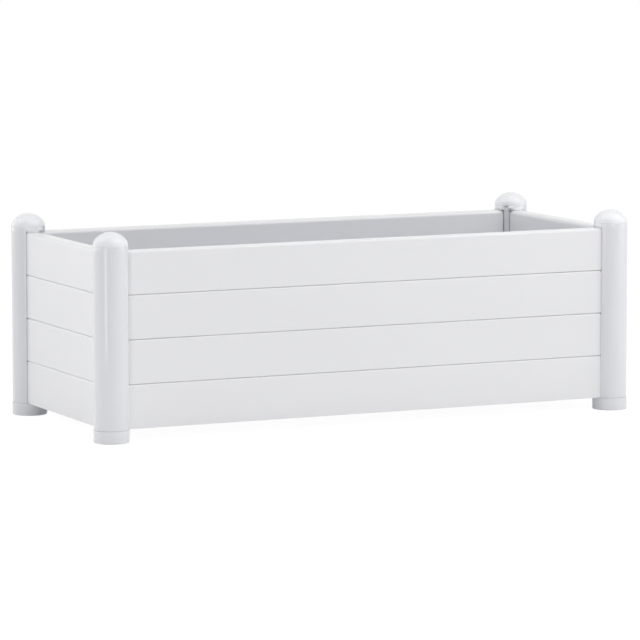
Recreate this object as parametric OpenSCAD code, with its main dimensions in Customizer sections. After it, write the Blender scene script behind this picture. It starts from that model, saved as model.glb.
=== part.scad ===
// Raised garden bed. Round corner posts hold walls of stacked hollow planks, and ribbed
// panels on ledges of the lowest planks close the bed below. A tie across the middle keeps
// the long walls from bowing. All of it is white polypropylene apart from the tie's screws.
// The origin is on the ground under the middle of the bed, X runs along it and Z is up.

/* [Bed] */
// Length over the feet
bed_length = 1000; // [800:5:1400]
// Depth over the feet
bed_depth = 435; // [400:5:800]

/* [Planks] */
// Height of one row of planks
plank_pitch = 74.6; // [66:0.2:95]
// Height of the rim plank, which has no tongue
rim_plank_h = 72.6; // [64:0.2:95]
// Thickness of a plank
plank_thick = 27.5; // [26:0.25:28.5]
// Distance from the posts' centre line out to the planks' outer face
plank_offset = 14; // [13:0.25:14.5]
// Thickness of the planks' skins
plank_skin = 2.2; // [2:0.1:3]
// Thickness of the rib across the middle of a plank
plank_web = 2.2; // [2:0.1:4]
// Gap that shows as the dark line between two rows
joint_gap = 0.3; // [0.1:0.1:0.6]
// Bevel on the lower edge of a plank
bevel_low = 1.5; // [0.5:0.1:2]
// Bevel on the upper edge of a plank
bevel_high = 3; // [1:0.1:3.5]
// Radius on the outer edge of the rim
rim_r_out = 5; // [0.5:0.1:6]
// Radius on the inner edge of the rim
rim_r_in = 6.5; // [1:0.1:8]

/* [Tongue and groove] */
// Height of a tongue
tongue_h = 8; // [5:0.5:12]
// Width of a tongue
tongue_w = 8.4; // [7:0.1:9]
// Distance from a plank's outer face to its tongue
tongue_in = 9.4; // [8.5:0.1:10]
// Gap between a tongue and each side of its groove
tongue_clear = 0.4; // [0.2:0.05:0.8]
// Gap above a tongue
tongue_top_clear = 0.6; // [0.3:0.1:1.5]
// Length of the notch beside a post, past the post's edge
notch_length = 10; // [4:0.5:16]
// Depth of that notch below the joint
notch_depth = 1; // [0.8:0.1:3]

/* [Posts] */
// Diameter of a post
post_d = 59; // [58:0.5:64]
// Thickness of a post's round wall
post_wall = 2.8; // [2.2:0.1:3.2]
// Distance from a post's axis to the bottom of its slots
slot_face = 16.5; // [16:0.1:17]
// Thickness of the web behind a slot
slot_web = 2.5; // [2:0.1:3]
// Reach of the web past the slots' bottoms, inside the bed
hook_reach = 5; // [4:0.1:5.5]
// Depth of the web's face behind the post's round
web_set = 2; // [0:0.1:2.4]
// Distance from the planks' inner face to the edge of a cap's block and the floor's corner
inside_gap = 4; // [3:0.1:4.5]
// Distance from the slot's bottom to the key that holds a plank
key_from = 4.3; // [3.5:0.1:4.6]
// Thickness of the key
key_thick = 2.6; // [2:0.1:2.8]
// Height of the key above the slot's side
key_depth = 4.5; // [3:0.1:5.5]
// Gap round the key
key_clear = 0.3; // [0.2:0.05:0.6]
// Depth by which a plank's end is stepped back from its inner face, to enter the slot
tenon_step = 6; // [4:0.5:7]
// Gap between the shoulder of that step and the web
step_clear = 2; // [0.5:0.1:2.5]
// Gap between a plank's end and the slot's bottom
end_clear = 0.3; // [0.2:0.1:1]
// Gap between a plank's faces and the slot's sides
side_clear = 0.25; // [0.15:0.05:0.5]

/* [Feet] */
// Height of a foot, up to the planks
foot_h = 22; // [14:0.5:40]
// Distance that a foot stands out past its post
foot_rim = 0.75; // [0:0.05:3]
// Thickness of a foot's base
foot_base = 3; // [2:0.1:5]
// Radius on a foot's lower edge
foot_r_low = 2; // [0.5:0.1:2.5]
// Radius on a foot's upper edge
foot_r_high = 0.8; // [0.2:0.1:1.5]
// Thickness of the ribs in a foot
foot_rib = 2.2; // [1.6:0.1:4]
// Height of a foot's plug inside the post
foot_plug_h = 12; // [8:0.5:20]

/* [Caps] */
// Height of a cap's dome
cap_rise = 23; // [20:0.5:28]
// Radius of the dome's shoulder
cap_shoulder_r = 17; // [10:0.5:18]
// Thickness of the dome
cap_wall = 2.6; // [2:0.1:3.5]
// Distance from the rim of the planks up to the cap's seam
cap_above = 8.6; // [4:0.1:12]
// Depth of a cap's plug inside the post
cap_plug_h = 15; // [8:0.5:24]
// Thickness of the plugs' walls
plug_wall = 2.2; // [1.6:0.1:3]
// Gap round the plugs
plug_clear = 0.25; // [0.15:0.05:0.5]

/* [Floor] */
// Width of the ledges on the lowest planks
ledge_w = 14; // [10:0.5:18]
// Thickness of the ledges
ledge_t = 3; // [2:0.1:5]
// Height of the ribs under the floor
floor_rib_h = 15; // [8:0.5:24]
// Thickness of the ribs
floor_rib_t = 2.2; // [1.8:0.1:4]
// Thickness of the floor's plate
floor_plate_t = 2.6; // [2:0.1:5]
// Gap between the floor and the walls
floor_clear = 1.5; // [0.8:0.1:3]
// Gap between two floor panels
panel_gap = 0.8; // [0.4:0.1:2]
// Cells along a panel
cells_x = 4; // [2:2:6]
// Cells across a panel
cells_y = 6; // [4:2:8]
// Diameter of a drain hole
drain_d = 8; // [4:0.5:12]

/* [Tie] */
// Row of planks that the tie joins
tie_row = 3; // [2:1:3]
// Width of the tie's flanges
tie_w = 18; // [12:0.5:26]
// Height of the tie
tie_h = 34; // [24:0.5:40]
// Thickness of the tie's flanges and web
tie_t = 3; // [2.4:0.1:4]
// Width of the tie's end plates
plate_w = 56; // [52:0.5:70]
// Height of the end plates
plate_h = 46; // [42:0.5:56]
// Thickness of the end plates
plate_t = 4; // [3:0.1:6]
// Radius of the end plates' corners
plate_r = 6; // [3:0.5:8]
// Half the distance between the screws along the bed
screw_dx = 20; // [17:0.5:21]
// Half the distance between the screws up the wall
screw_dz = 14; // [10:0.5:15]
// Diameter of a screw
screw_d = 4; // [3:0.1:4.5]
// Length of a screw under its head
screw_l = 14; // [12:0.5:18]
// Length of a screw's point
screw_tip = 3; // [2:0.5:4]
// Diameter of a screw's head
head_d = 8; // [7:0.1:9]
// Height of a screw's head
head_h = 3; // [2.4:0.1:3.6]
// Width of the cross in a screw's head
drive_w = 1; // [0.6:0.1:1.2]
// Gap round a screw in the end plate
screw_clear = 0.25; // [0.1:0.05:0.5]
// Gap round a screw in the plank
pilot_clear = 0.05; // [0:0.01:0.1]

/* [Hidden] */
$fn = 96;
rows = 4;
panels = 4;
overlap = 0.5;
plastic = [0.93, 0.94, 0.94];
shade = [0.84, 0.85, 0.86];
steel = [0.7, 0.71, 0.72];
post_r = post_d / 2;
core_r = post_r - post_wall;
foot_r = post_r + foot_rim;
post_x = bed_length / 2 - foot_r;
post_y = bed_depth / 2 - foot_r;
rim_z = foot_h + (rows - 1) * plank_pitch + rim_plank_h;
seam_z = rim_z + cap_above;
inner_off = plank_thick - plank_offset;
slot_out = plank_offset + side_clear;
tenon_thick = plank_thick - tenon_step;
slot_in = inner_off - tenon_step + side_clear;
web_y = inner_off + inside_gap;
post_edge = sqrt(pow(post_r, 2) - pow(plank_offset, 2));
web_face = slot_face + hook_reach;
step_edge = web_face + step_clear;
web_reach = sqrt(pow(post_r, 2) - pow(web_y, 2));
tongue_out = tongue_in + tongue_w;
groove_top = tongue_h + tongue_top_clear;
rim_skin = max(plank_skin, rim_r_out, rim_r_in);
mid_low = (plank_pitch - plank_web) / 2;
mid_high = (plank_pitch + plank_web) / 2;
room_x = post_x - inner_off;
room_y = post_y - inner_off;
floor_z = foot_h + ledge_t;
floor_h = floor_rib_h + floor_plate_t;
panel_l = (2 * (room_x - floor_clear) - (panels - 1) * panel_gap) / panels;
panel_w = 2 * (room_y - floor_clear);
cell_l = (panel_l - floor_rib_t) / cells_x;
cell_w = (panel_w - floor_rib_t) / cells_y;
panel_notch = web_reach - inner_off;
tie_z = foot_h + (tie_row - 0.5) * plank_pitch;
plate_y = room_y - plate_t;

// The corners, each with the signs of its X and Y
CORNERS = [
    ["front_left", -1, -1],
    ["front_right", 1, -1],
    ["back_left", -1, 1],
    ["back_right", 1, 1]
];

// Puts a piece drawn round the front left post's axis at another corner
module at_corner(side_x, side_y) {
    scale_x = side_x > 0 ? 1 : 0;
    scale_y = side_y > 0 ? 1 : 0;
    mirror([scale_x, 0, 0])
        mirror([0, scale_y, 0])
            translate([-post_x, -post_y, 0])
                children();
}

// One slot, seen from above: as wide as a plank's end, and wider past the web's edge
module slot_side(inset) {
    translate([slot_face + inset, inset - slot_out])
        square([post_r - slot_face, slot_out + slot_in - 2 * inset]);
    translate([web_face + inset, 0])
        square([post_r - slot_face, web_y - inset]);
}

// Both slots, the second turned towards +Y
module slot_profile(inset) {
    slot_side(inset);
    mirror([1, -1, 0])
        slot_side(inset);
}

// The part of the post that a slot and its web take from the core
module core_corner(inset) {
    translate([slot_face - slot_web - inset, -slot_out - slot_web - inset])
        square(post_d);
}

// The hollow core of a post, which the plugs of its cap and foot follow
module core_profile(inset) {
    difference() {
        circle(core_r - inset);
        core_corner(inset);
        mirror([1, -1, 0])
            core_corner(inset);
    }
}

// What the web's face leaves off the post's round
module web_cut() {
    difference() {
        translate([slot_in, slot_in])
            square(post_r);
        circle(post_r - web_set);
    }
}

// The key on a slot's outer side, which stands in a cut of the plank
module key_side() {
    translate([slot_face + key_from, -slot_out - overlap])
        square([key_thick, key_depth + overlap]);
}

module post() {
    color(plastic)
        translate([0, 0, foot_h]) {
            linear_extrude(seam_z - foot_h)
                difference() {
                    circle(post_r);
                    slot_profile(0);
                    core_profile(0);
                    web_cut();
                }
            linear_extrude(rim_z - foot_h) {
                key_side();
                mirror([1, -1, 0])
                    key_side();
            }
        }
}

// The wall of a plug, hollow inside
module plug_profile() {
    difference() {
        core_profile(plug_clear);
        core_profile(plug_clear + plug_wall);
    }
}

// A quarter of a square outside its arc, for rounding an outer corner at [r, r]
module corner_cut(r) {
    difference() {
        square(r + overlap);
        circle(r);
    }
}

// Half of a dome's section: a shoulder arc that runs tangent into a flatter crown arc
module dome_half(reach, rise, shoulder) {
    crown_r = (pow(reach, 2) + pow(rise, 2) - 2 * reach * shoulder) / (2 * (rise - shoulder));
    crown_z = rise - crown_r;
    shoulder_x = reach - shoulder;
    tangent = 2 * crown_r * [shoulder_x, -crown_z] / norm([shoulder_x, -crown_z]);
    intersection() {
        square([reach, rise]);
        union() {
            intersection() {
                translate([0, crown_z])
                    circle(crown_r);
                polygon([[0, crown_z], [0, crown_z + 2 * crown_r], [0, crown_z] + tangent]);
            }
            translate([shoulder_x, 0])
                circle(shoulder);
            square([shoulder_x, -crown_z]);
        }
    }
}

module cap() {
    color(plastic) {
        translate([0, 0, seam_z])
            rotate_extrude()
                difference() {
                    dome_half(post_r, cap_rise, cap_shoulder_r);
                    dome_half(post_r - cap_wall, cap_rise - cap_wall, cap_shoulder_r - cap_wall);
                }
        // The plug reaches up into the dome
        intersection() {
            translate([0, 0, seam_z - cap_plug_h])
                linear_extrude(cap_plug_h + cap_rise)
                    plug_profile();
            union() {
                translate([0, 0, seam_z])
                    rotate_extrude()
                        dome_half(post_r - overlap, cap_rise - overlap, cap_shoulder_r - overlap);
                translate([0, 0, seam_z - cap_plug_h])
                    cylinder(r = post_r, h = cap_plug_h);
            }
        }
        // Blocks that close the slots above the planks
        translate([0, 0, rim_z + end_clear])
            linear_extrude(cap_above - end_clear + cap_wall)
                intersection() {
                    circle(post_r);
                    slot_profile(plug_clear);
                }
    }
}

module foot() {
    ring_r = core_r - plug_clear - plug_wall / 2;
    color(plastic) {
        rotate_extrude()
            difference() {
                square([foot_r, foot_h]);
                translate([0, foot_base])
                    square([ring_r, foot_h]);
                translate([foot_r - foot_r_high, foot_h - foot_r_high])
                    corner_cut(foot_r_high);
                translate([foot_r - foot_r_low, foot_r_low])
                    mirror([0, 1, 0])
                        corner_cut(foot_r_low);
            }
        linear_extrude(foot_h + foot_plug_h)
            plug_profile();
        for (turn = [0, 90])
            rotate([0, 0, turn])
                translate([-ring_r - overlap, -foot_rib / 2, 0])
                    cube([2 * (ring_r + overlap), foot_rib, foot_h]);
    }
}

// The outline of a plank's section: X from its outer face inwards, Y up from its lower edge
module plank_outline(row) {
    shoulder = plank_pitch - joint_gap;
    difference() {
        if (row < rows)
            polygon([
                [0, bevel_low],
                [bevel_low, 0],
                [plank_thick, 0],
                [plank_thick, plank_pitch],
                [tongue_out, plank_pitch],
                [tongue_out, plank_pitch + tongue_h],
                [tongue_in, plank_pitch + tongue_h],
                [tongue_in, shoulder],
                [bevel_high, shoulder],
                [0, shoulder - bevel_high]
            ]);
        else
            difference() {
                polygon([
                    [0, bevel_low],
                    [bevel_low, 0],
                    [plank_thick, 0],
                    [plank_thick, rim_plank_h],
                    [0, rim_plank_h]
                ]);
                translate([plank_thick - rim_r_in, rim_plank_h - rim_r_in])
                    corner_cut(rim_r_in);
                translate([rim_r_out, rim_plank_h - rim_r_out])
                    mirror([1, 0, 0])
                        corner_cut(rim_r_out);
            }
        if (row > 1)
            translate([tongue_in - tongue_clear, -overlap])
                square([tongue_w + 2 * tongue_clear, groove_top + overlap]);
    }
}

// The hollows inside a plank, or inside its thinner ends
module plank_hollows(row, thick) {
    inside = thick - 2 * plank_skin;
    low = row > 1 ? groove_top + plank_skin : plank_skin;
    high = row < rows ? plank_pitch - notch_depth - plank_skin : rim_plank_h - rim_skin;
    translate([plank_skin, low])
        square([inside, mid_low - low]);
    translate([plank_skin, mid_high])
        square([inside, high - mid_high]);
    if (row > 1) {
        side_low = plank_skin + bevel_low;
        outer_w = tongue_in - tongue_clear - 2 * plank_skin;
        inner_from = tongue_out + tongue_clear + plank_skin;
        inner_w = thick - plank_skin - inner_from;
        translate([plank_skin, side_low])
            square([outer_w, low - side_low + overlap]);
        if (inner_w > 0)
            translate([inner_from, side_low])
                square([inner_w, low - side_low + overlap]);
    }
    if (row < rows)
        translate([tongue_in + plank_skin, high - overlap])
            square([tongue_w - 2 * plank_skin, plank_pitch + tongue_h - plank_skin - high + overlap]);
}

// Lays a section along X, centred
module along_x(length) {
    rotate([90, 0, 90])
        linear_extrude(length, center = true)
            children();
}

// One plank between two posts whose axes are 2 * run apart. ledge is half the length of its
// ledge, which only the lowest row has.
module plank(row, run, ledge, tied) {
    half = run - slot_face - end_clear;
    key_x = run - slot_face - key_from - key_thick / 2;
    notch_x = run - post_edge - notch_length;
    step_x = run - step_edge;
    key_cut = key_depth - side_clear + key_clear;
    full_h = plank_pitch + tongue_h;
    color(plastic)
        difference() {
            union() {
                along_x(2 * half)
                    plank_outline(row);
                if (row == 1)
                    translate([-ledge, plank_thick - overlap, 0])
                        cube([2 * ledge, ledge_w + overlap, ledge_t]);
            }
            along_x(2 * (step_x - plank_skin))
                plank_hollows(row, plank_thick);
            along_x(2 * (half + overlap))
                plank_hollows(row, tenon_thick);
            for (side = [-1, 1]) {
                step_from = side > 0 ? step_x : -half - overlap;
                notch_from = side > 0 ? notch_x : -half - overlap;
                translate([side * key_x - key_thick / 2 - key_clear, -overlap, -overlap])
                    cube([key_thick + 2 * key_clear, key_cut + overlap, full_h + 2 * overlap]);
                translate([step_from, tenon_thick, -overlap])
                    cube([half + overlap - step_x, plank_thick, full_h + 2 * overlap]);
                if (row < rows)
                    translate([notch_from, -overlap, plank_pitch - notch_depth])
                        cube([half + overlap - notch_x, tongue_out + overlap, full_h]);
                if (tied)
                    for (level = [-1, 1]) {
                        pilot_z = plank_pitch / 2 + level * screw_dz;
                        translate([side * screw_dx, plank_thick + overlap, pilot_z])
                            rotate([90, 0, 0])
                                cylinder(r = screw_d / 2 + pilot_clear, h = plank_skin + 2 * overlap);
                    }
            }
        }
}

module long_board(row) {
    translate([0, -post_y - plank_offset, foot_h + (row - 1) * plank_pitch])
        plank(row, post_x, post_x - web_reach - floor_clear, row == tie_row);
}

module front_board(row) {
    long_board(row);
}

module back_board(row) {
    mirror([0, 1, 0])
        long_board(row);
}

module left_board(row) {
    rotate([0, 0, -90])
        translate([0, -post_x - plank_offset, foot_h + (row - 1) * plank_pitch])
            plank(row, post_y, room_y - ledge_w - floor_clear, false);
}

module right_board(row) {
    mirror([1, 0, 0])
        left_board(row);
}

// One floor panel: a plate with ribs under it and a drain hole in each cell
module floor_panel(index) {
    at_left = index == 1;
    at_right = index == panels;
    block = panel_notch + floor_rib_t;
    color(shade)
        translate([(index - (panels + 1) / 2) * (panel_l + panel_gap), 0, 0])
            difference() {
                translate([-panel_l / 2, -panel_w / 2, floor_z])
                    cube([panel_l, panel_w, floor_h]);
                difference() {
                    for (i = [0:cells_x - 1])
                        for (j = [0:cells_y - 1])
                            translate([
                                i * cell_l - panel_l / 2 + floor_rib_t,
                                j * cell_w - panel_w / 2 + floor_rib_t,
                                floor_z - overlap
                            ])
                                cube([cell_l - floor_rib_t, cell_w - floor_rib_t, floor_rib_h + overlap]);
                    for (side_y = [-1, 1]) {
                        if (at_left)
                            panel_corner(-1, side_y, block);
                        if (at_right)
                            panel_corner(1, side_y, block);
                    }
                }
                for (i = [0:cells_x - 1])
                    for (j = [0:cells_y - 1])
                        translate([
                            (i + 0.5) * cell_l - panel_l / 2 + floor_rib_t / 2,
                            (j + 0.5) * cell_w - panel_w / 2 + floor_rib_t / 2,
                            floor_z
                        ])
                            cylinder(d = drain_d, h = floor_h + overlap);
                for (side_y = [-1, 1]) {
                    if (at_left)
                        panel_corner(-1, side_y, panel_notch);
                    if (at_right)
                        panel_corner(1, side_y, panel_notch);
                }
            }
}

// A square block at a corner of a panel, where the post's web stands
module panel_corner(side_x, side_y, size) {
    translate([side_x * (panel_l / 2 - size / 2), side_y * (panel_w / 2 - size / 2), floor_z - overlap])
        translate([-size / 2 - (side_x < 0 ? overlap : 0), -size / 2 - (side_y < 0 ? overlap : 0), 0])
            cube([size + overlap, size + overlap, floor_h + 2 * overlap]);
}

// A plate with round corners, in X and Y
module round_plate(width, height, r) {
    square([width, height - 2 * r], center = true);
    square([width - 2 * r, height], center = true);
    for (i = [-1, 1])
        for (j = [-1, 1])
            translate([i * (width / 2 - r), j * (height / 2 - r)])
                circle(r);
}

// Draws a piece at each screw of the front plate, its axis pointing out at the wall
module at_screws() {
    for (i = [-1, 1])
        for (j = [-1, 1])
            translate([i * screw_dx, -plate_y, tie_z + j * screw_dz])
                rotate([90, 0, 0])
                    children();
}

module end_plate() {
    difference() {
        translate([0, -plate_y, tie_z])
            rotate([90, 0, 0])
                linear_extrude(plate_t)
                    round_plate(plate_w, plate_h, plate_r);
        at_screws()
            translate([0, 0, -overlap])
                cylinder(r = screw_d / 2 + screw_clear, h = plate_t + 2 * overlap);
    }
}

// The tie is an I beam between its end plates
module cross_tie() {
    color(shade) {
        translate([0, 0, tie_z])
            rotate([90, 0, 0])
                linear_extrude(2 * plate_y + overlap, center = true) {
                    square([tie_t, tie_h], center = true);
                    for (j = [-1, 1])
                        translate([0, j * (tie_h - tie_t) / 2])
                            square([tie_w, tie_t], center = true);
                }
        end_plate();
        mirror([0, 1, 0])
            end_plate();
    }
}

// A screw with a flat round head and a cross recess
module screw() {
    difference() {
        translate([0, 0, -head_h])
            cylinder(d = head_d, h = head_h);
        for (turn = [0, 90])
            rotate([0, 0, turn])
                translate([-head_d / 4, -drive_w / 2, -head_h - overlap])
                    cube([head_d / 2, drive_w, head_h / 2 + overlap]);
    }
    cylinder(d = screw_d, h = screw_l - screw_tip);
    translate([0, 0, screw_l - screw_tip])
        cylinder(d1 = screw_d, d2 = screw_d / 4, h = screw_tip);
}

module tie_screws() {
    color(steel) {
        at_screws()
            screw();
        mirror([0, 1, 0])
            at_screws()
                screw();
    }
}

for (corner = CORNERS) {
    at_corner(corner[1], corner[2]) post();
    at_corner(corner[1], corner[2]) cap();
    at_corner(corner[1], corner[2]) foot();
}
for (row = [1:rows]) {
    front_board(row);
    back_board(row);
    left_board(row);
    right_board(row);
}
for (index = [1:panels])
    floor_panel(index);
cross_tie();
tie_screws();
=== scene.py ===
"""A white raised garden bed: hollow planks in four rows between round posts with domed caps."""
import bmesh
import bpy
import numpy as np
from mathutils import Matrix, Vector
from mathutils.geometry import tessellate_polygon


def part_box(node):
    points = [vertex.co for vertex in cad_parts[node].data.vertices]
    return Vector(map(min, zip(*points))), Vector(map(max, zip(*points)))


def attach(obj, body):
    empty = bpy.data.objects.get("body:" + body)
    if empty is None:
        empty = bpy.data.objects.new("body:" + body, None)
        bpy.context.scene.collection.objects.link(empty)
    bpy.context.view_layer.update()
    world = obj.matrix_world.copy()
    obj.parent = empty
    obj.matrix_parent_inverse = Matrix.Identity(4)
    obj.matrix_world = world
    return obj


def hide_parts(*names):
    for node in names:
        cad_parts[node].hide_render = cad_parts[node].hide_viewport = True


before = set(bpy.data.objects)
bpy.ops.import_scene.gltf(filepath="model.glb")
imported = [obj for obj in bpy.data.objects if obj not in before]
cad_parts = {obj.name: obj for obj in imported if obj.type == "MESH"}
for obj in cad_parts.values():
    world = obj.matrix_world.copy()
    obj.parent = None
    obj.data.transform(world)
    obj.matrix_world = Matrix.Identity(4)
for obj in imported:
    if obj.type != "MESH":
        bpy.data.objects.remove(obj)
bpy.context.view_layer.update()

MM = 0.001

# Corner posts
# Each is a tube of white polypropylene, extruded and cut to length. Two upright slots take the
# planks' ends, a web between them shows inside the bed, and a key in each slot holds a plank.
foot_low, foot_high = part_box("foot_front_left")
post_low, post_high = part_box("post_front_left")
post_x = -(foot_low.x + foot_high.x) / 2
post_y = -(foot_low.y + foot_high.y) / 2
post_r = -post_x - post_low.x
foot_top = post_low.z
seam_z = post_high.z
rim_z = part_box("front_board_4")[1].z
plank_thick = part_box("front_board_2")[1].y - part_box("front_board_2")[0].y
plank_out = -post_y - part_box("front_board_2")[0].y
post_wall = 2.8 * MM
core_r = post_r - post_wall
core_round = 1 * MM
slot_face = 16.5 * MM
slot_web = 2.5 * MM
slot_clear = 0.15 * MM
tenon_step = 6 * MM
hook_reach = 5 * MM
web_behind = 2 * MM
web_r = post_r - web_behind
step_clear = 1 * MM
key_from = 4.3 * MM
key_thick = 2.6 * MM
key_depth = 4.5 * MM
slot_out = plank_out + slot_clear
slot_in = plank_thick - plank_out - tenon_step + slot_clear
edge = 0.4 * MM
weld = 0.001 * MM
web_count, round_count, core_count = 8, 56, 48
corner_signs = {
    "front_left": (1, 1), "front_right": (-1, 1), "back_left": (1, -1), "back_right": (-1, -1)}


def rounded(corners, reach, steps=3):
    """A closed outline with its corners eased. At corner P the curve is the conic arc
    ((1-t)^2 A + 2t(1-t) w P + t^2 B) / ((1-t)^2 + 2t(1-t) w + t^2), where A and B lie at that
    corner's reach from P along its two sides and w is the cosine of half the turn, which makes
    it a circular arc. A corner with no reach stays one point."""
    corners = np.array(corners, float)
    reach = np.broadcast_to(np.array(reach, float), len(corners))
    before = np.roll(corners, 1, 0) - corners
    after = np.roll(corners, -1, 0) - corners
    before /= np.linalg.norm(before, axis=1)[:, None]
    after /= np.linalg.norm(after, axis=1)[:, None]
    weight = np.sqrt((1 - (before * after).sum(1)) / 2)[:, None, None]
    t = np.linspace(0, 1, steps + 1)[None, :, None]
    start = (corners + reach[:, None] * before)[:, None]
    stop = (corners + reach[:, None] * after)[:, None]
    parts = (1 - t) ** 2, 2 * t * (1 - t) * weight, t ** 2
    curve = (parts[0] * start + parts[1] * corners[:, None] + parts[2] * stop) / sum(parts)
    wanted = (reach > 0)[:, None] | (np.arange(steps + 1) == 0)[None]
    return curve[wanted]


def arc(radius, start, stop, count):
    """Points at even angles on a circle round the origin, from angle start to angle stop."""
    angle = np.linspace(start, stop, count)
    return radius * np.stack([np.cos(angle), np.sin(angle)], 1)


def carried(loops, stations):
    """The closed surface of a section carried along a straight line. loops holds the section's
    outlines, the outside anticlockwise and the hollows clockwise, each as [station, point, 2];
    stations are the distances along the line. Quads join neighbouring points of neighbouring
    stations, and triangles close both ends round the hollows. Gives (u, v, w) points and faces."""
    stations = np.array(stations, float)
    count = len(stations)
    points, faces, first, last, base = [], [], [], [], 0
    for loop in loops:
        loop = np.broadcast_to(loop, (count,) + np.shape(loop)[-2:])
        size = loop.shape[1]
        along = np.broadcast_to(stations[:, None, None], (count, size, 1))
        points.append(np.concatenate([loop, along], 2).reshape(-1, 3))
        number = base + np.arange(count * size).reshape(count, size)
        beside = np.roll(number, -1, 1)
        quads = np.stack([number[:-1], beside[:-1], beside[1:], number[1:]], 2)
        faces += quads.reshape(-1, 4).tolist()
        first.append((loop[0], number[0]))
        last.append((loop[-1], number[-1]))
        base += count * size
    for ends, turn in ((first, -1), (last, 1)):
        flat = np.concatenate([outline for outline, number in ends])
        number = np.concatenate([number for outline, number in ends])
        filled = tessellate_polygon([[(u, v, 0) for u, v in outline] for outline, number in ends])
        corners = np.array(filled)
        a, b, c = flat[corners[:, 0]], flat[corners[:, 1]], flat[corners[:, 2]]
        to_b, to_c = b - a, c - a
        area = to_b[:, 0] * to_c[:, 1] - to_b[:, 1] * to_c[:, 0]
        corners[area * turn < 0] = corners[area * turn < 0][:, ::-1]
        faces += number[corners].tolist()
    return np.concatenate(points), faces


def full_round(radius, height, count):
    """The surface of points at [angle, place] given as radius and height: the point (r, z) at
    angle a is (r cos a, r sin a, z). The last of the count angles joins the first, and profiles
    that start and end on the axis close at their poles."""
    angle = np.arange(count)[:, None] * 2 * np.pi / count
    points = np.stack([radius * np.cos(angle), radius * np.sin(angle), height + 0 * angle], 2)
    number = np.arange(points.shape[0] * points.shape[1]).reshape(points.shape[:2])
    beside = np.roll(number, -1, 0)
    quads = np.stack([number[:, :-1], beside[:, :-1], beside[:, 1:], number[:, 1:]], 2)
    return points.reshape(-1, 3), quads.reshape(-1, 4).tolist()


def turned(profile, count=96):
    """The surface of a profile of (radius, height) points turned about Z."""
    profile = np.array(profile, float)
    return full_round(profile[:, 0], profile[:, 1], count)


def joined(*shells):
    """Several (points, faces) shells as one."""
    points, faces, base = [], [], 0
    for shell_points, shell_faces in shells:
        points.append(np.array(shell_points))
        faces += [[base + corner for corner in face] for face in shell_faces]
        base += len(shell_points)
    return np.concatenate(points), faces


def piece(name, shell, material, slot, *nodes):
    """Makes the shell a smooth piece of the bed, facing outwards, for the nodes it replaces."""
    points, faces = shell
    mesh = bpy.data.meshes.new(name)
    mesh.from_pydata(points.tolist(), [], faces)
    skin = bmesh.new()
    skin.from_mesh(mesh)
    bmesh.ops.remove_doubles(skin, verts=skin.verts, dist=weld)
    bmesh.ops.dissolve_degenerate(skin, edges=skin.edges, dist=weld)
    if skin.calc_volume(signed=True) < 0:
        bmesh.ops.reverse_faces(skin, faces=skin.faces)
    skin.to_mesh(mesh)
    skin.free()
    mesh.shade_smooth()
    mesh.materials.append(material)
    made = bpy.data.objects.new(name, mesh)
    bpy.context.scene.collection.objects.link(made)
    normals = made.modifiers.new("even_normals", "WEIGHTED_NORMAL")
    normals.weight = 100
    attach(made, "root")
    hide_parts(*nodes)


def node(tree, kind, inputs=(), **settings):
    """A new shader node. inputs gives a value, or a socket to link, for each input by name."""
    made = tree.nodes.new(kind)
    for key, value in settings.items():
        setattr(made, key, value)
    for key, value in dict(inputs).items():
        if isinstance(value, bpy.types.NodeSocket):
            tree.links.new(value, made.inputs[key])
        else:
            made.inputs[key].default_value = value
    return made


def new_material(name):
    """A material with an empty node tree, and that tree."""
    material = bpy.data.materials.new(name)
    material.use_nodes = True
    material.node_tree.nodes.clear()
    return material, material.node_tree


def moulded_skin():
    """Node group for the skin of moulded polypropylene: a broad cloudiness in tone and gloss
    where the melt flowed, and a fine pebble grain from the tool's etched surface."""
    group = bpy.data.node_groups.new("moulded_skin", "ShaderNodeTree")
    sockets = {
        "Place": "NodeSocketVector", "Colour": "NodeSocketColor", "Cloud": "NodeSocketColor",
        "Flow scale": "NodeSocketFloat", "Grain scale": "NodeSocketFloat",
        "Gloss low": "NodeSocketFloat", "Gloss high": "NodeSocketFloat"}
    for name, kind in sockets.items():
        group.interface.new_socket(name, in_out="INPUT", socket_type=kind)
    for name, kind in {"Colour": "NodeSocketColor", "Roughness": "NodeSocketFloat",
                       "Height": "NodeSocketFloat"}.items():
        group.interface.new_socket(name, in_out="OUTPUT", socket_type=kind)
    given = node(group, "NodeGroupInput").outputs
    flow = node(group, "ShaderNodeTexNoise", {
        "Vector": given["Place"], "Scale": given["Flow scale"], "Detail": 3, "Roughness": 0.5})
    grain = node(group, "ShaderNodeTexNoise", {
        "Vector": given["Place"], "Scale": given["Grain scale"], "Detail": 2, "Roughness": 0.6})
    cloud = node(group, "ShaderNodeMapRange", {
        "Value": flow.outputs["Fac"], "From Min": 0.35, "From Max": 0.65})
    tone = node(group, "ShaderNodeMix", data_type="RGBA")
    group.links.new(cloud.outputs["Result"], tone.inputs["Factor"])
    group.links.new(given["Colour"], tone.inputs["A"])
    group.links.new(given["Cloud"], tone.inputs["B"])
    both = node(group, "ShaderNodeMath", {0: cloud.outputs["Result"], 1: grain.outputs["Fac"]},
                operation="MULTIPLY")
    gloss = node(group, "ShaderNodeMapRange", {
        "Value": both.outputs["Value"], "From Max": 0.6,
        "To Min": given["Gloss low"], "To Max": given["Gloss high"]})
    out = node(group, "NodeGroupOutput")
    group.links.new(tone.outputs["Result"], out.inputs["Colour"])
    group.links.new(gloss.outputs["Result"], out.inputs["Roughness"])
    group.links.new(grain.outputs["Fac"], out.inputs["Height"])
    return group


skin_group = moulded_skin()


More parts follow.
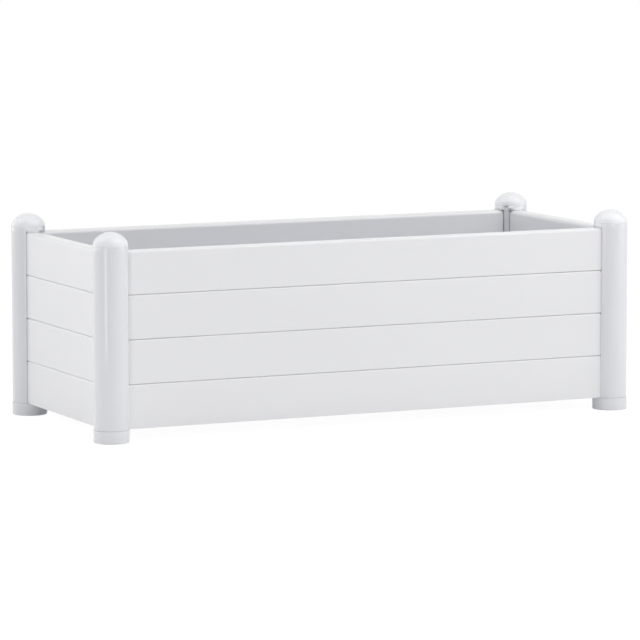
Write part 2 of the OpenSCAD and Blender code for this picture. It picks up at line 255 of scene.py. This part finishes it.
def polypropylene(name, colour, cloud, stretch, gloss, grain_depth, ior=1.49):
    """Polypropylene: the moulded skin, drawn out along an axis by stretch where it is extruded,
    in the given colours and range of roughness, with its grain as a bump."""
    material, tree = new_material(name)
    place = node(tree, "ShaderNodeMapping", {
        "Vector": node(tree, "ShaderNodeTexCoord").outputs["Object"], "Scale": stretch})
    skin = node(tree, "ShaderNodeGroup", node_tree=skin_group)
    tree.links.new(place.outputs["Vector"], skin.inputs["Place"])
    values = {"Colour": (*colour, 1), "Cloud": (*cloud, 1), "Flow scale": 9, "Grain scale": 1300,
              "Gloss low": gloss[0], "Gloss high": gloss[1]}
    for socket, value in values.items():
        skin.inputs[socket].default_value = value
    bump = node(tree, "ShaderNodeBump", {
        "Height": skin.outputs["Height"], "Strength": 0.35, "Distance": grain_depth})
    shader = node(tree, "ShaderNodeBsdfPrincipled", {
        "Base Color": skin.outputs["Colour"], "Roughness": skin.outputs["Roughness"],
        "Normal": bump.outputs["Normal"], "IOR": ior})
    node(tree, "ShaderNodeOutputMaterial", {"Surface": shader.outputs["BSDF"]})
    return material


# The posts' and feet's white is set darker than the planks' white to stand for the shade on the
# round posts: painted shade.
post_white_painted_shade = polypropylene("post_white_painted_shade", (0.788, 0.79, 0.816), (0.778, 0.78, 0.806), (1, 1, 0.25),
                           (0.13, 0.19), 0.02 * MM, 1.7)


def at_corner(shell, corner):
    """A shell drawn round the front left post's axis, mirrored to that corner."""
    points, faces = shell
    sign_x, sign_y = corner_signs[corner]
    turn = 1 if sign_x == sign_y else -1
    placed = points * (sign_x, sign_y, 1) - (sign_x * post_x, sign_y * post_y, 0)
    return placed, [face[::turn] for face in faces]


def mirrored(corners):
    """The corners of one slot turned to the other: x and y swapped, in the opposite order."""
    return np.array(corners)[::-1, ::-1]


def on_circle(y, radius=post_r):
    """The X at which a circle round the axis has that Y."""
    return (radius ** 2 - y ** 2) ** 0.5


def slot_walk(depth):
    """One slot's corners, from the outer circle in along its outer side, over the key that
    stands depth high, along its bottom and in front of the web."""
    key_low, key_high = slot_face + key_from, slot_face + key_from + key_thick
    return np.array([
        (key_high, -slot_out), (key_high, depth - slot_out), (key_low, depth - slot_out),
        (key_low, -slot_out), (slot_face, -slot_out), (slot_face, slot_in),
        (slot_face + hook_reach, slot_in)])


def ends_eased(count, reach):
    """The reach of an arc's points, of which only the first and the last are eased."""
    return np.concatenate([[reach], np.zeros(count - 2), [reach]])


def post_outline(depth):
    """A post's section: the web's arc, a little inside the post's, one slot, the long outer arc
    and the other slot."""
    web = np.arccos((slot_face + hook_reach) / web_r)
    mouth = np.arctan2(slot_out, on_circle(slot_out))
    slot = slot_walk(depth)
    outline = np.concatenate([
        arc(web_r, web, np.pi / 2 - web, web_count), mirrored(slot),
        arc(post_r, np.pi / 2 + mouth, 2 * np.pi - mouth, round_count), slot])
    slot_reach = np.full(len(slot), edge)
    reach = np.concatenate([
        ends_eased(web_count, edge), slot_reach, ends_eased(round_count, edge), slot_reach])
    return outline, reach


def core_outline(amount):
    """The round core behind the slots, clockwise, with its wall moved in by amount."""
    face = slot_face - slot_web - amount
    side = -(slot_out + slot_web + amount)
    radius = core_r - amount
    end = np.arctan2(-side, on_circle(side, radius))
    outline = np.concatenate([
        arc(radius, np.pi / 2 + end, 2 * np.pi - end, core_count),
        [(face, side), (face, face), (side, face)]])
    reach = np.concatenate([ends_eased(core_count, edge), np.full(3, core_round)])
    return rounded(outline, reach)[::-1]


# Above the rim the keys end, all but key_flush, so that each ring has as many points
key_flush = 0.02 * MM
full_key, flat_key = post_outline(key_depth), post_outline(key_flush)
post_rings = [rounded(*full_key), rounded(*full_key), rounded(*flat_key), rounded(*flat_key)]
post_heights = [foot_top, rim_z, rim_z + edge, seam_z]
post_shell = carried([np.array(post_rings), core_outline(0)], post_heights)
for corner in corner_signs:
    piece(f"post_{corner}_tube", at_corner(post_shell, corner), post_white_painted_shade, "post_plastic",
          f"post_{corner}")

# Feet
# Each is a round polypropylene cup a little wider than its post, with a plug on top that is
# pressed into the post's core. The bed stands on the four flat undersides.
foot_r = (foot_high.x - foot_low.x) / 2
foot_plug_top = foot_high.z
foot_r_low = 2 * MM
foot_r_high = 0.8 * MM
seam_gap = 0.45 * MM
seam_depth = 1.2 * MM
plug_clear = 0.25 * MM
plug_wall = 2.2 * MM


def plug(low, high):
    """A plug that fills a post's core but for its clearance, with a thin wall round its hollow."""
    outer, hollow = core_outline(plug_clear)[::-1], core_outline(plug_clear + plug_wall)
    return carried([outer, hollow], [low, high])


def quarter(centre_r, centre_z, radius, start, count=6):
    """A quarter circle in a turned profile, anticlockwise from angle start."""
    return arc(radius, start, start + np.pi / 2, count) + (centre_r, centre_z)


foot_profile = np.concatenate([
    [(0, 0)],
    quarter(foot_r - foot_r_low, foot_r_low, foot_r_low, -np.pi / 2),
    quarter(foot_r - foot_r_high, foot_top - seam_gap - foot_r_high, foot_r_high, 0),
    [(post_r - seam_depth, foot_top - seam_gap), (post_r - seam_depth, foot_top), (0, foot_top)]])
foot_shell = joined(turned(foot_profile), plug(foot_top - edge, foot_plug_top))
for corner in corner_signs:
    piece(f"foot_{corner}_cup", at_corner(foot_shell, corner), post_white_painted_shade, "post_plastic",
          f"foot_{corner}")

# Planks
# Each row of a wall is one hollow plank of white polypropylene with a satin face. Its tongue
# stands in the groove of the plank above, so that only a bevelled line shows between them.
# The end of each plank is stepped to slide down a post's slot, and the rim plank is rounded.
rows = 4
row_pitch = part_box("front_board_3")[0].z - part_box("front_board_2")[0].z
rim_plank = rim_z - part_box("front_board_4")[0].z
end_gap = post_x - slot_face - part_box("front_board_2")[1].x
joint_gap = 0.15 * MM
bevel_low = 0.6 * MM
joint_round = 3.8 * MM
rim_r_out = 4.4 * MM
rim_r_in = 6.5 * MM
tongue_h = 8 * MM
tongue_in = 9.4 * MM
tongue_out = 17.8 * MM
groove_side = 0.4 * MM
groove_top = 8.6 * MM
notch_length = 10 * MM
notch_depth = 0.7 * MM
key_gap = 0.3 * MM
ledge_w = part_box("front_board_1")[1].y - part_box("front_board_1")[0].y - plank_thick
ledge_t = 3 * MM
step = 0.3 * MM
before_notch, even_count = 20 * MM, 12

plank_long, plank_side = [
    polypropylene(f"plank_white_{name}", (0.855, 0.852, 0.864), (0.845, 0.842, 0.856), stretch,
                  (0.28, 0.36), 0.04 * MM)
    for name, stretch in (("long", (0.12, 1, 1)), ("side", (1, 0.12, 1)))]


def plank_section(row, notched, ledged):
    """A plank's section as corners (inwards from the outer face, up from the lower edge) with the
    reach of each: lower bevel, groove, inner face, then tongue and rounded shoulder, or the rim.
    In the notch beside a post, notched goes from 0 to 1 as the joint opens to its full depth and
    the tongue is gone, and past its ledge the ledge lies flat."""
    ledge_end = plank_thick + (ledge_w if ledged else 0)
    low = [(0, bevel_low, edge), (bevel_low, 0, edge)]
    if row > 1:
        low += [(tongue_in - groove_side, 0, edge), (tongue_in - groove_side, groove_top, edge),
                (tongue_out + groove_side, groove_top, edge), (tongue_out + groove_side, 0, edge)]
        low += [(plank_thick, 0, edge)]
    else:
        low += [(ledge_end, 0, edge), (ledge_end, ledge_t if ledged else ledge_t / 2, edge),
                (plank_thick, ledge_t, edge)]
    if row == rows:
        high = [(plank_thick, rim_plank, rim_r_in), (0, rim_plank, rim_r_out)]
    else:
        cut = notched * (notch_depth - joint_gap)
        shoulder, tongue_top = row_pitch - joint_gap - cut, row_pitch + tongue_h
        tongue = [(tongue_out, tongue_top, edge), (tongue_in, tongue_top, edge)]
        if notched > 0:
            tongue = [(tongue_out, shoulder, edge), ((tongue_out + tongue_in) / 2, shoulder, edge)]
        high = [(plank_thick, row_pitch, edge), (tongue_out, row_pitch, edge), *tongue,
                (tongue_in, shoulder, edge), (0, shoulder, joint_round - cut)]
    corners = np.array(low + high)
    return rounded(corners[:, :2], corners[:, 2], steps=5)


def plank(row, run, ledge):
    """One plank, centred, for posts whose axes are 2 run apart: its section at stations along its
    half, mirrored for the other. The stations are even to before_notch from the notch, then stand
    where the section changes: past the notch the tongue is cut down, past the step the inner face
    is moved out to the tenon's, and at the key's cut the outer face is moved in. Gives (along,
    inwards, up) points."""
    half = run - slot_face - end_gap
    notch = run - on_circle(plank_out) - notch_length
    step_in = run - slot_face - hook_reach - step_clear
    key = run - slot_face - key_from - key_thick / 2
    cut_from, cut_to = key - key_thick / 2 - key_gap, key + key_thick / 2 + key_gap
    places = np.linspace(0, notch - before_notch, even_count).tolist()
    places += [notch, notch + step, step_in, step_in + step, half - step, half]
    places += [cut_from, cut_from + key_flush, cut_to - key_flush, cut_to]
    if row == 1:
        places += [ledge, ledge + step]
    places = np.sort(places)
    rings = []
    for place in places:
        notched = np.clip((place - notch) / notch_length, 0, 1)
        ring = plank_section(row, notched, place <= ledge)
        if place > step_in:
            ring[:, 0] = np.minimum(ring[:, 0], plank_thick - tenon_step)
        if cut_from < place < cut_to:
            ring[:, 0] = np.maximum(ring[:, 0], key_depth + key_gap - slot_clear)
        rings.append(ring)
    points, faces = carried([rings[:0:-1] + rings], np.concatenate([-places[:0:-1], places]))
    return points[:, [2, 0, 1]], faces


def wall(side, row):
    """Places a plank in its wall: the long ones along X, the short ones turned along Y."""
    height = foot_top + (row - 1) * row_pitch
    if side in ("front", "back"):
        run, wall_from, ledge, order, material = post_x, post_y, ledge_long, (0, 1, 2), plank_long
    else:
        run, wall_from, ledge, order, material = post_y, post_x, ledge_short, (1, 0, 2), plank_side
    points, faces = plank(row, run, ledge)
    sign = 1 if side in ("front", "left") else -1
    across = sign * (points[:, 1] - wall_from - plank_out)
    points = np.stack([points[:, 0], across, points[:, 2] + height], 1)[:, order]
    piece(f"{side}_plank_{row}", (points, faces), material, "plank_plastic", f"{side}_board_{row}")


floor_gap = 1.5 * MM
web_side = 4 * MM
web_edge = plank_thick - plank_out + web_side
web_reach = on_circle(web_edge)
inner_y = post_y + plank_out - plank_thick
ledge_long = post_x - web_reach - floor_gap
ledge_short = inner_y - ledge_w - floor_gap
for side in ("front", "back", "left", "right"):
    for row in range(1, rows + 1):
        wall(side, row)

# Floor panels
# Four trays of light grey polypropylene, each moulded in one piece, lie on the ledges of the
# lowest planks and hold the soil. Ribs stiffen them from below, and each cell drains.
panels = 4
cells_x, cells_y = 4, 6
rib_t = 2.2 * MM
floor_t = 2.6 * MM
drain_r = 4 * MM
cell_round = 2 * MM
floor_ease = 0.5 * MM
grid_inset = floor_ease / 5
panel_notch = web_reach - plank_thick + plank_out
floor_grey = polypropylene("floor_grey", (0.6, 0.63, 0.72), (0.58, 0.61, 0.7), (1, 1, 1),
                            (0.34, 0.48), 0.05 * MM)


def inset(outline, amount):
    """An outline moved to its left by amount, which is inwards for an outside and wider for a
    hollow. A point between edges with normals m and n moves by amount (m + n) / (1 + m.n)."""
    ahead = np.roll(outline, -1, 0) - outline
    ahead /= np.linalg.norm(ahead, axis=1)[:, None]
    normal = np.stack([-ahead[:, 1], ahead[:, 0]], 1)
    before = np.roll(normal, 1, 0)
    return outline + amount * (normal + before) / (1 + (normal * before).sum(1))[:, None]


def eased(outlines, low, high, ease, steps=3):
    """Outlines carried from low to high, with both faces' edges rounded: at angle t on an
    edge's quarter circle they are inset by ease (1 - sin t), at ease (1 - cos t) from the face."""
    angle = np.linspace(0, np.pi / 2, steps + 1)
    inward, depth = ease * (1 - np.sin(angle)), ease * (1 - np.cos(angle))
    offsets = np.concatenate([inward, inward[::-1]])
    loops = [np.array([inset(outline, offset) for offset in offsets]) for outline in outlines]
    return carried(loops, np.concatenate([low + depth, high - depth[::-1]]))


def rectangle(low, high, cuts=(0, 0, 0, 0)):
    """A rectangle's corners, anticlockwise from the lower left one. Where its cut isn't 0, a
    corner is replaced by the three corners of a square notch of that side."""
    corners = []
    for number, cut in enumerate(cuts):
        x, in_x = (low[0], 1) if number in (0, 3) else (high[0], -1)
        y, in_y = (low[1], 1) if number < 2 else (high[1], -1)
        notch = [(x, y + in_y * cut), (x + in_x * cut, y + in_y * cut), (x + in_x * cut, y)]
        corners += ([(x, y)] if cut == 0 else notch if number in (0, 2) else notch[::-1])
    return np.array(corners)


def round_hole(x, y, radius, count=28):
    """A round hollow's outline, clockwise round (x, y)."""
    return arc(radius, 0, -2 * np.pi * (1 - 1 / count), count) + (x, y)


def floor_panel(index):
    """A plate with its drain holes, and below it the grid of ribs, which goes round the notches
    where the posts stand."""
    low, high = (np.array(corner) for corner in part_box(f"floor_panel_{index}"))
    at_left, at_right = index == 1, index == panels
    cell = (high[:2] - low[:2] - rib_t) / (cells_x, cells_y)
    cuts = [panel_notch * here for here in (at_left, at_right, at_right, at_left)]
    outline = rounded(rectangle(low[:2], high[:2], cuts), cell_round)
    drains, hollows = [], []
    for i in range(cells_x):
        for j in range(cells_y):
            start = low[:2] + rib_t + cell * (i, j)
            stop = start + cell - rib_t
            drains.append(round_hole(*(start + stop) / 2, drain_r))
            at_end = (i == 0, i == cells_x - 1, i == cells_x - 1, i == 0)
            at_side = (j == 0, j == 0, j == cells_y - 1, j == cells_y - 1)
            own = [cut * x_end * y_end for cut, x_end, y_end in zip(cuts, at_end, at_side)]
            hollows.append(rounded(rectangle(start, stop, own), cell_round)[::-1])
    plate = eased([outline] + drains, high[2] - floor_t, high[2], floor_ease)
    grid = eased([inset(outline, grid_inset)] + hollows, low[2], high[2] - floor_t / 2, floor_ease)
    return joined(plate, grid)


for index in range(1, panels + 1):
    piece(f"floor_panel_{index}_tray", floor_panel(index), floor_grey, "floor_plastic",
          f"floor_panel_{index}")

# Cross tie
# An I beam of the same light grey across the middle keeps the long walls from bowing. Its end
# plates are held to the third row's planks by eight zinc plated screws.
tie_low, tie_high = (np.array(corner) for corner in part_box("cross_tie"))
tie_z = (tie_low[2] + tie_high[2]) / 2
beam_w, beam_h, beam_t = 18 * MM, 34 * MM, 3 * MM
beam_fillet = 1.5 * MM
end_t = 4 * MM
end_round = 6 * MM
end_ease = 0.6 * MM
screw_x, screw_z = 20 * MM, 14 * MM
screw_hole_r = 2.25 * MM


def upright(shell):
    """A shell drawn as (X, up, along Y) put in its place round the tie's axis."""
    points, faces = shell
    return points[:, [0, 2, 1]] + (0, 0, tie_z), faces


def beam_outline():
    """The I section, anticlockwise: flanges above and below a web, with fillets between them."""
    x, z = beam_w / 2, beam_h / 2
    web, flange = beam_t / 2, beam_h / 2 - beam_t
    corners = [(-x, -z), (x, -z), (x, -flange), (web, -flange), (web, flange), (x, flange),
               (x, z), (-x, z), (-x, flange), (-web, flange), (-web, -flange), (-x, -flange)]
    reach = [edge, edge, edge, beam_fillet, beam_fillet, edge] * 2
    return rounded(corners, reach)


end_x, end_z = tie_high[0], (tie_high[2] - tie_low[2]) / 2
end_outline = rounded(rectangle((-end_x, -end_z), (end_x, end_z)), end_round, steps=8)
screw_places = [(x, z) for x in (-screw_x, screw_x) for z in (-screw_z, screw_z)]
screw_holes = [round_hole(x, z, screw_hole_r) for x, z in screw_places]
wall_y = tie_high[1]
tie_shell = joined(
    carried([beam_outline()], [end_ease - wall_y, wall_y - end_ease]),
    eased([end_outline] + screw_holes, -wall_y, end_t - wall_y, end_ease),
    eased([end_outline] + screw_holes, wall_y - end_t, wall_y, end_ease))
piece("cross_tie_beam", upright(tie_shell), floor_grey, "floor_plastic", "cross_tie")


def zinc_plate():
    """Bright zinc on steel: metallic, with a fine crystal grain in tone, gloss and height."""
    material, tree = new_material("zinc_plate")
    place = node(tree, "ShaderNodeTexCoord").outputs["Object"]
    grain = node(tree, "ShaderNodeTexNoise", {"Vector": place, "Scale": 2500, "Detail": 2})
    gloss = node(tree, "ShaderNodeMapRange", {
        "Value": grain.outputs["Fac"], "To Min": 0.22, "To Max": 0.42})
    tint = node(tree, "ShaderNodeMix", data_type="RGBA")
    tree.links.new(grain.outputs["Fac"], tint.inputs["Factor"])
    tint.inputs["A"].default_value = (0.58, 0.59, 0.6, 1)
    tint.inputs["B"].default_value = (0.68, 0.68, 0.67, 1)
    bump = node(tree, "ShaderNodeBump", {"Height": grain.outputs["Fac"], "Strength": 0.3,
                                         "Distance": 0.02 * MM})
    shader = node(tree, "ShaderNodeBsdfPrincipled", {
        "Base Color": tint.outputs["Result"], "Roughness": gloss.outputs["Result"], "Metallic": 1,
        "Normal": bump.outputs["Normal"]})
    node(tree, "ShaderNodeOutputMaterial", {"Surface": shader.outputs["BSDF"]})
    return material


head_r, head_h = 4 * MM, 3 * MM
drive_w, drive_reach, drive_depth = 1 * MM, 2.4 * MM, 1.4 * MM
shank_r, shank_l, tip_l = 2 * MM, 14 * MM, 3 * MM
thread_pitch, thread_h = 1.8 * MM, 0.55 * MM
head_rings, ring_power, shank_rings = 26, 0.8, 71
side_slope, end_slope = 3, 2


def screw(count=48):
    """A pan head screw along Z, its head's seat at 0 and its point down. The head's height at
    radius r is head_h sqrt(1 - (r / head_r)^2), less the cross's depth where a point is in one of
    its arms, whose sides and ends slope. Below it the radius at angle a and depth s is the
    shank's, less thread_h times the distance of (s / thread_pitch - a / 2 pi) from its nearest
    whole number, doubled, and it shrinks to the point over the tip."""
    angle = np.arange(count)[:, None] * 2 * np.pi / count
    out = np.linspace(0, 1, head_rings)[None, :] ** ring_power * head_r
    x, y = out * np.cos(angle), out * np.sin(angle)
    near = np.minimum(np.abs(x), np.abs(y))
    in_arm = np.clip((drive_w - near * 2) / drive_w * side_slope, 0, 1)
    cross = in_arm * np.clip((drive_reach - out) / drive_w * end_slope, 0, 1)
    head_z = head_h * np.sqrt(1 - (out / head_r) ** 2) - drive_depth * cross
    depth = np.linspace(0, shank_l, shank_rings)[None, :]
    turns = depth / thread_pitch - angle / (2 * np.pi)
    radius = shank_r - thread_h * 2 * np.abs(turns - np.round(turns))
    radius = radius * np.clip((shank_l - depth) / tip_l, 0, 1)
    radius = np.concatenate([out + 0 * angle, radius], 1)
    height = np.concatenate([head_z, -depth + 0 * angle], 1)
    return full_round(radius, height, count)


def screws_in_place():
    """The screw at each hole of both end plates, its head inside the bed, its point outwards."""
    points, faces = screw()
    shells = []
    for side in (-1, 1):
        along = side * (wall_y - end_t) - side * points[:, 2]
        for x, z in screw_places:
            placed = np.stack([side * points[:, 0] + x, along, points[:, 1] + tie_z + z], 1)
            shells.append((placed, faces))
    return joined(*shells)


piece("tie_screws_set", screws_in_place(), zinc_plate(), "screw_steel", "tie_screws")

# Caps
# Each is a thin moulded dome that sits on its post's end, with a plug in the post's core and
# two blocks below that close the slots above the rim of the planks.
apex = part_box("cap_front_left")[1].z
cap_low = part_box("cap_front_left")[0].z
cap_rise = apex - seam_z
cap_shoulder = 17 * MM
cap_wall = 2.6 * MM
block_count = 14


def dome(reach, rise, shoulder, count):
    """Half a dome's profile from its edge to its top: a shoulder arc round (reach - shoulder, 0)
    that runs tangent into a flatter crown arc round a centre below on the axis."""
    crown = (reach ** 2 + rise ** 2 - 2 * reach * shoulder) / (2 * (rise - shoulder))
    change = np.arctan2(crown - rise, reach - shoulder)
    angle = np.linspace(0, np.pi / 2, count)[:, None]
    turn = np.concatenate([np.cos(angle), np.sin(angle)], 1)
    on_shoulder = shoulder * turn + (reach - shoulder, 0)
    on_crown = crown * turn + (0, rise - crown)
    return np.where(angle < change, on_shoulder, on_crown) + (0, seam_z)


cap_edge = 0.3 * MM
outer_dome = dome(post_r, cap_rise, cap_shoulder, count=36)
inner_dome = dome(post_r - cap_wall, cap_rise - cap_wall, cap_shoulder - cap_wall, count=24)
# The edge at the seam is chamfered, and both ends of the profile lie on the axis
outer_dome[0] = (post_r - cap_edge / 4, seam_z + cap_edge / 2)
cap_profile = np.concatenate([inner_dome[::-1], [(post_r - cap_edge, seam_z)], outer_dome])
cap_profile[0, 0] = 0
cap_profile[-1, 0] = 0


def slot_block():
    """One block in the plan of a slot, smaller all round by its clearance but for its outer face,
    which carries on the post's circle."""
    side, far = -(slot_out - plug_clear), web_edge - plug_clear
    face = slot_face + plug_clear
    start, stop = np.arctan2(side, on_circle(side)), np.arctan2(far, on_circle(far))
    outline = np.concatenate([
        arc(post_r, start, stop, block_count),
        [(face + hook_reach, far), (face + hook_reach, slot_in - plug_clear),
         (face, slot_in - plug_clear), (face, side)]])
    reach = np.concatenate([ends_eased(block_count, edge / 2), np.full(4, edge / 2)])
    return rounded(outline, reach)


block = slot_block()
block_heights = [rim_z + end_gap, seam_z]
cap_shell = joined(
    turned(cap_profile), plug(cap_low, seam_z + cap_wall),
    carried([block], block_heights), carried([mirrored(block)], block_heights))
# The caps' white is set lighter than the planks' white to stand for the light that falls on the
# domes from above: painted light.
cap_white_painted_light = polypropylene("cap_white_painted_light", (0.9, 0.9, 0.92), (0.885, 0.885, 0.905), (1, 1, 1),
                          (0.2, 0.27), 0.02 * MM)
for corner in corner_signs:
    piece(f"cap_{corner}_dome", at_corner(cap_shell, corner), cap_white_painted_light, "post_plastic",
          f"cap_{corner}")

# Studio
# A white floor that keeps a faint shadow, a white surround, soft lamps in front, on both sides
# and above, and a long lens at the height and distance of the reference view.
floor_mesh = bpy.data.meshes.new("studio_floor")
floor_half = 6
floor_z = -0.05 * MM
floor_mesh.from_pydata(
    [(-floor_half, -floor_half, floor_z), (floor_half, -floor_half, floor_z),
     (floor_half, floor_half, floor_z), (-floor_half, floor_half, floor_z)], [], [(0, 1, 2, 3)])
floor = bpy.data.objects.new("studio_floor", floor_mesh)
bpy.context.scene.collection.objects.link(floor)


def seen_directly(tree):
    """1 for the rays that show the background itself, straight or through gloss and glass."""
    path = node(tree, "ShaderNodeLightPath").outputs
    either = node(tree, "ShaderNodeMath", {0: path["Is Camera Ray"], 1: path["Is Glossy Ray"]},
                  operation="MAXIMUM")
    any_of = {0: either.outputs["Value"], 1: path["Is Transmission Ray"]}
    return node(tree, "ShaderNodeMath", any_of, operation="MAXIMUM").outputs["Value"]


def floor_material():
    """White paper over a light table, which glows a little from below; its glow fades to nothing
    under the bed, a painted shadow of the bed. Where it is seen directly it is brightened, fully
    so past the reach of the bed's shadow. Both go by the distance
    d = max(|x| - half length, |y| - half depth) from the bed's rectangle."""
    material, tree = new_material("studio_paper")
    place = node(tree, "ShaderNodeTexCoord").outputs["Object"]
    around = node(tree, "ShaderNodeVectorMath", {0: place}, operation="ABSOLUTE")
    past = node(tree, "ShaderNodeVectorMath", {
        0: around.outputs["Vector"], 1: (post_x, post_y, 0)}, operation="SUBTRACT")
    sides = node(tree, "ShaderNodeSeparateXYZ", {0: past.outputs["Vector"]}).outputs
    distance = node(tree, "ShaderNodeMath", {0: sides["X"], 1: sides["Y"]}, operation="MAXIMUM")
    # The table's glow falls to nothing under the bed: painted shadow in the light from below.
    table_glow_and_painted_shadow, seen_glow = [
        node(tree, "ShaderNodeMapRange", {
            "Value": distance.outputs["Value"], "From Min": start, "From Max": stop, "To Min": low,
            "To Max": high}, interpolation_type="SMOOTHSTEP").outputs["Result"]
        for start, stop, low, high in ((-0.05, 0.1, 0, 0.29), (0.3, 0.9, 0.97, 1))]
    paper = node(tree, "ShaderNodeBsdfDiffuse", {"Color": (0.8, 0.8, 0.8, 1)})
    table = node(tree, "ShaderNodeEmission", {
        "Color": (0.97, 0.98, 1, 1), "Strength": table_glow_and_painted_shadow})
    lit = node(tree, "ShaderNodeAddShader", {
        0: paper.outputs["BSDF"], 1: table.outputs["Emission"]})
    faint = node(tree, "ShaderNodeBsdfDiffuse", {"Color": (0.1, 0.1, 0.1, 1)})
    glow = node(tree, "ShaderNodeEmission", {"Color": (1, 1, 1, 1), "Strength": seen_glow})
    bright = node(tree, "ShaderNodeAddShader", {
        0: faint.outputs["BSDF"], 1: glow.outputs["Emission"]})
    mix = node(tree, "ShaderNodeMixShader", {
        0: seen_directly(tree), 1: lit.outputs["Shader"], 2: bright.outputs["Shader"]})
    node(tree, "ShaderNodeOutputMaterial", {"Surface": mix.outputs["Shader"]})
    return material


floor_mesh.materials.append(floor_material())

eye = np.array((-3.0969, -6.6292, 1.0336))
yaw, pitch, roll = np.radians((25.0312, 6.8116, -0.0745))
focal_px = 4239.2
frame_px = 640
ahead = np.array((np.sin(yaw) * np.cos(pitch), np.cos(yaw) * np.cos(pitch), -np.sin(pitch)))
level = np.array((np.cos(yaw), -np.sin(yaw), 0))
right = level * np.cos(roll) + np.cross(level, ahead) * np.sin(roll)
up = np.cross(right, ahead)
lens = bpy.data.cameras.new("studio_camera")
lens.sensor_width = 36
lens.lens = focal_px * lens.sensor_width / frame_px
lens.clip_end = 100
camera = bpy.data.objects.new("studio_camera", lens)
bpy.context.scene.collection.objects.link(camera)
turn = np.eye(4)
turn[:3, :4] = np.stack([right, up, -ahead, eye], 1)
camera.matrix_world = Matrix(turn.tolist())
bpy.context.scene.camera = camera

world = bpy.data.worlds.new("studio")
bpy.context.scene.world = world
world.use_nodes = True
sky = world.node_tree
sky.nodes.clear()
around = node(sky, "ShaderNodeBackground", {"Color": (0.94, 0.97, 1, 1), "Strength": 0.15})
backdrop = node(sky, "ShaderNodeBackground", {"Color": (1, 1, 1, 1), "Strength": 1})
choice = node(sky, "ShaderNodeMixShader", {
    0: seen_directly(sky), 1: around.outputs["Background"], 2: backdrop.outputs["Background"]})
node(sky, "ShaderNodeOutputWorld", {"Surface": choice.outputs["Shader"]})


def softbox(name, bearing, height, distance, size, power):
    """A soft lamp, size = (width, height), that faces the bed's middle. bearing is the angle to
    the right of the camera's side, as the bed sees it, and height the angle above the floor, in
    degrees."""
    angle, rise = np.radians(bearing), np.radians(height)
    side = np.sin(angle) * level - np.cos(angle) * np.array((np.sin(yaw), np.cos(yaw), 0))
    away = np.cos(rise) * side + np.array((0, 0, np.sin(rise)))
    place = distance * away + (0, 0, bed_middle)
    across = np.array((-side[1], side[0], 0))
    light = bpy.data.lights.new(name, "AREA")
    light.shape = "RECTANGLE"
    light.size, light.size_y = size
    light.energy = power
    lamp = bpy.data.objects.new(name, light)
    lamp.visible_camera = False
    bpy.context.scene.collection.objects.link(lamp)
    matrix = np.eye(4)
    matrix[:3, :4] = np.stack([across, np.cross(away, across), away, place], 1)
    lamp.matrix_world = Matrix(matrix.tolist())


bed_middle = apex / 2
# Bearing and height in degrees, distance and (width, height) in metres, power in watts
lamps = {
    "right_side": (80, 15, 2.5, (2.0, 1.6), 8),
    "right_high": (80, 50, 4, (2.6, 2.2), 46),
    "left_side": (-113, 15, 4, (2.9, 2.6), 27),
    "left_front": (-75, 20, 4, (2.6, 2.2), 12),
    "left_high": (-95, 50, 4, (2.6, 2.2), 31),
    "front_right": (40, 25, 2.5, (1.6, 1.4), 5.7),
    "top_front": (25, 58, 2.5, (2.0, 1.0), 9.6),
    "overhead": (0, 89, 2.5, (2.0, 2.0), 11.2),
    "strip": (-33, 10, 1.5, (0.24, 0.9), 1.4),
}
for name, values in lamps.items():
    softbox(name, *values)

bpy.context.scene.view_settings.view_transform = "Standard"
